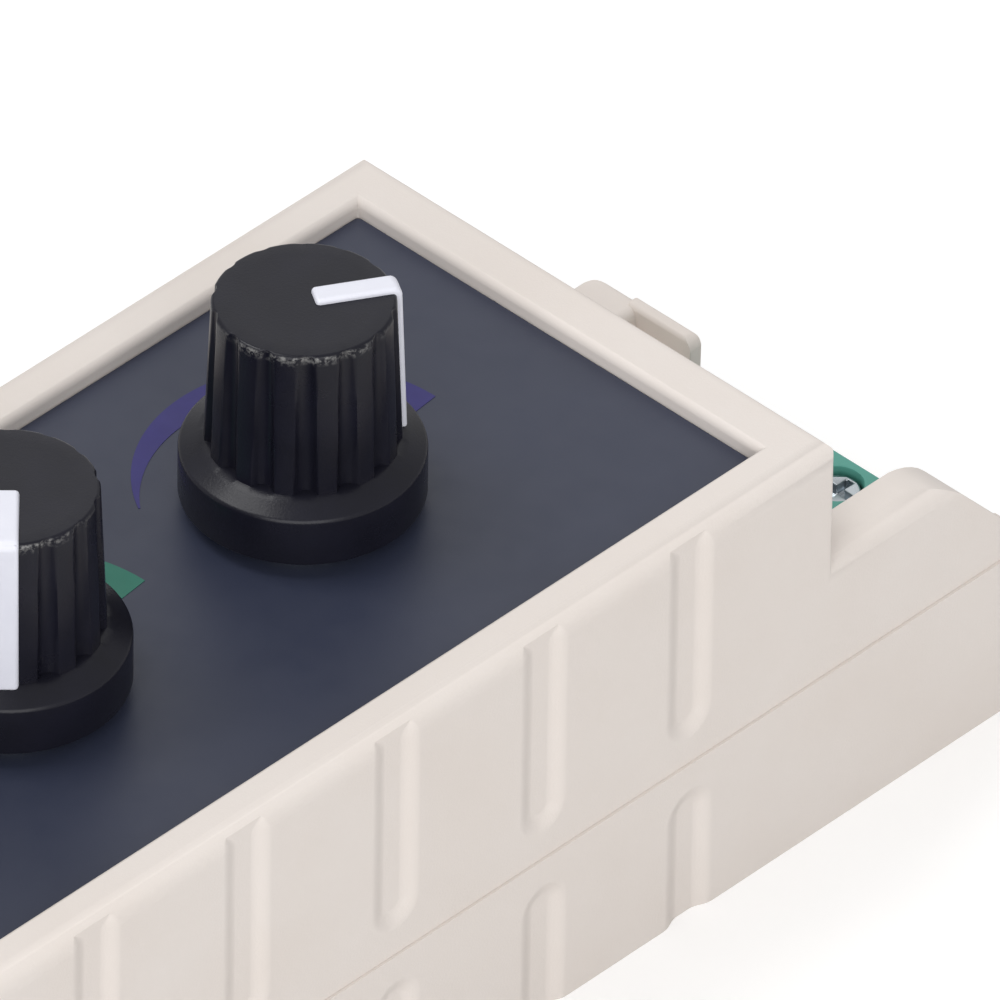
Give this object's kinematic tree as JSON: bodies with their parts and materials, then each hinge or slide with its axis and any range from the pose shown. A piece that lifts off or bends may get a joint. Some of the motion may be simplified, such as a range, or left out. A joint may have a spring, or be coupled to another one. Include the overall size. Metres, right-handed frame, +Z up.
{
  "type": "led strip dimmer controller",
  "caption": "Beige two-shell dimmer for a colour LED strip: a dark recessed panel with turning knobs, and screw terminals in open bays at its ends.",
  "frame": {"origin": "middle of the case's underside, on the surface it rests on", "axes": "+X along the case towards the output terminal, +Z up out of the panel, -Y the side that faces the user"},
  "size_m": [0.141, 0.042, 0.0453],
  "materials": {
    "case_shell": "fine moulded texture, pale beige",
    "panel_print": "printed sheet, fine satin grain, dark slate",
    "board": "green solder resist over glass fibre",
    "terminal_body": "smooth moulded nylon, pale green",
    "steel": "bright zinc-plated steel",
    "tin": "tinned brass",
    "knob_black": "satin black moulded plastic",
    "pointer_white": "white moulded insert",
    "shaft_alloy": "turned aluminium",
    "rotor_plastic": "natural acetal",
    "phenolic": "brown phenolic paper",
    "chip_black": "moulded epoxy",
    "sleeve": "shrunk vinyl sleeve, dark blue"
  },
  "bodies": {
    "case": {"base_shell": "case_shell", "cover_shell": "case_shell", "panel_sheet": "panel_print", "circuit_board": "board", "case_screws": "steel", "output_terminal": "terminal_body", "output_contacts": "tin", "input_terminal": "terminal_body", "input_contacts": "tin", "red_bushing": "tin", "red_wafer": "phenolic", "red_can": "steel", "red_washer": "steel", "red_nut": "steel", "red_pins": "tin", "green_bushing": "tin", "green_wafer": "phenolic", "green_can": "steel", "green_washer": "steel", "green_nut": "steel", "green_pins": "tin", "blue_bushing": "tin", "blue_wafer": "phenolic", "blue_can": "steel", "blue_washer": "steel", "blue_nut": "steel", "blue_pins": "tin", "red_mosfet": "chip_black", "green_mosfet": "chip_black", "blue_mosfet": "chip_black", "controller_chip": "chip_black", "voltage_regulator": "chip_black", "supply_capacitor": "sleeve", "chip_resistors": "chip_black"},
    "red_control": {"red_knob": "knob_black", "red_pointer": "pointer_white", "red_shaft": "shaft_alloy", "red_rotor": "rotor_plastic"},
    "green_control": {"green_knob": "knob_black", "green_pointer": "pointer_white", "green_shaft": "shaft_alloy", "green_rotor": "rotor_plastic"},
    "blue_control": {"blue_knob": "knob_black", "blue_pointer": "pointer_white", "blue_shaft": "shaft_alloy", "blue_rotor": "rotor_plastic"},
    "output_clamp_screw_1": {"output_screw_1": "steel"},
    "output_clamp_cage_1": {"output_cage_1": "steel"},
    "output_clamp_screw_2": {"output_screw_2": "steel"},
    "output_clamp_cage_2": {"output_cage_2": "steel"},
    "output_clamp_screw_3": {"output_screw_3": "steel"},
    "output_clamp_cage_3": {"output_cage_3": "steel"},
    "input_clamp_screw_1": {"input_screw_1": "steel"},
    "input_clamp_cage_1": {"input_cage_1": "steel"},
    "input_clamp_screw_2": {"input_screw_2": "steel"},
    "input_clamp_cage_2": {"input_cage_2": "steel"},
    "input_clamp_screw_3": {"input_screw_3": "steel"},
    "input_clamp_cage_3": {"input_cage_3": "steel"}
  },
  "joints": [
    {"name": "red_turn", "type": "hinge", "parent": "case", "child": "red_control", "pos_m": [-0.0258, 0, 0.03], "axis": [0, 0, 1], "range_deg": [-260, 40]},
    {"name": "green_turn", "type": "hinge", "parent": "case", "child": "green_control", "pos_m": [0, 0, 0.03], "axis": [0, 0, 1], "range_deg": [-284.4, 15.6]},
    {"name": "blue_turn", "type": "hinge", "parent": "case", "child": "blue_control", "pos_m": [0.0258, 0, 0.03], "axis": [0, 0, 1], "range_deg": [-29, 271]},
    {"name": "output_screw_1_turn", "type": "hinge", "parent": "case", "child": "output_clamp_screw_1", "pos_m": [0.0591, -0.01421, 0.0165], "axis": [0, 0, -1], "range_deg": [0, 1368.5]},
    {"name": "output_cage_1_lift", "type": "slide", "parent": "case", "child": "output_clamp_cage_1", "axis": [0, 0, 1], "range_m": [0, 0.0019]},
    {"name": "output_screw_2_turn", "type": "hinge", "parent": "case", "child": "output_clamp_screw_2", "pos_m": [0.0591, -0.00913, 0.0165], "axis": [0, 0, -1], "range_deg": [0, 1368.5]},
    {"name": "output_cage_2_lift", "type": "slide", "parent": "case", "child": "output_clamp_cage_2", "axis": [0, 0, 1], "range_m": [0, 0.0019]},
    {"name": "output_screw_3_turn", "type": "hinge", "parent": "case", "child": "output_clamp_screw_3", "pos_m": [0.0591, -0.00405, 0.0165], "axis": [0, 0, -1], "range_deg": [0, 1368.5]},
    {"name": "output_cage_3_lift", "type": "slide", "parent": "case", "child": "output_clamp_cage_3", "axis": [0, 0, 1], "range_m": [0, 0.0019]},
    {"name": "input_screw_1_turn", "type": "hinge", "parent": "case", "child": "input_clamp_screw_1", "pos_m": [-0.0591, 0.01421, 0.0165], "axis": [0, 0, -1], "range_deg": [0, 1368.5]},
    {"name": "input_cage_1_lift", "type": "slide", "parent": "case", "child": "input_clamp_cage_1", "axis": [0, 0, 1], "range_m": [0, 0.0019]},
    {"name": "input_screw_2_turn", "type": "hinge", "parent": "case", "child": "input_clamp_screw_2", "pos_m": [-0.0591, 0.00913, 0.0165], "axis": [0, 0, -1], "range_deg": [0, 1368.5]},
    {"name": "input_cage_2_lift", "type": "slide", "parent": "case", "child": "input_clamp_cage_2", "axis": [0, 0, 1], "range_m": [0, 0.0019]},
    {"name": "input_screw_3_turn", "type": "hinge", "parent": "case", "child": "input_clamp_screw_3", "pos_m": [-0.0591, 0.00405, 0.0165], "axis": [0, 0, -1], "range_deg": [0, 1368.5]},
    {"name": "input_cage_3_lift", "type": "slide", "parent": "case", "child": "input_clamp_cage_3", "axis": [0, 0, 1], "range_m": [0, 0.0019]}
  ],
  "couplings": [
    {"joint": "output_screw_1_turn", "follows": "output_cage_1_lift", "rad_per_m": 12566},
    {"joint": "output_screw_2_turn", "follows": "output_cage_2_lift", "rad_per_m": 12566},
    {"joint": "output_screw_3_turn", "follows": "output_cage_3_lift", "rad_per_m": 12566},
    {"joint": "input_screw_1_turn", "follows": "input_cage_1_lift", "rad_per_m": 12566},
    {"joint": "input_screw_2_turn", "follows": "input_cage_2_lift", "rad_per_m": 12566},
    {"joint": "input_screw_3_turn", "follows": "input_cage_3_lift", "rad_per_m": 12566}
  ]
}
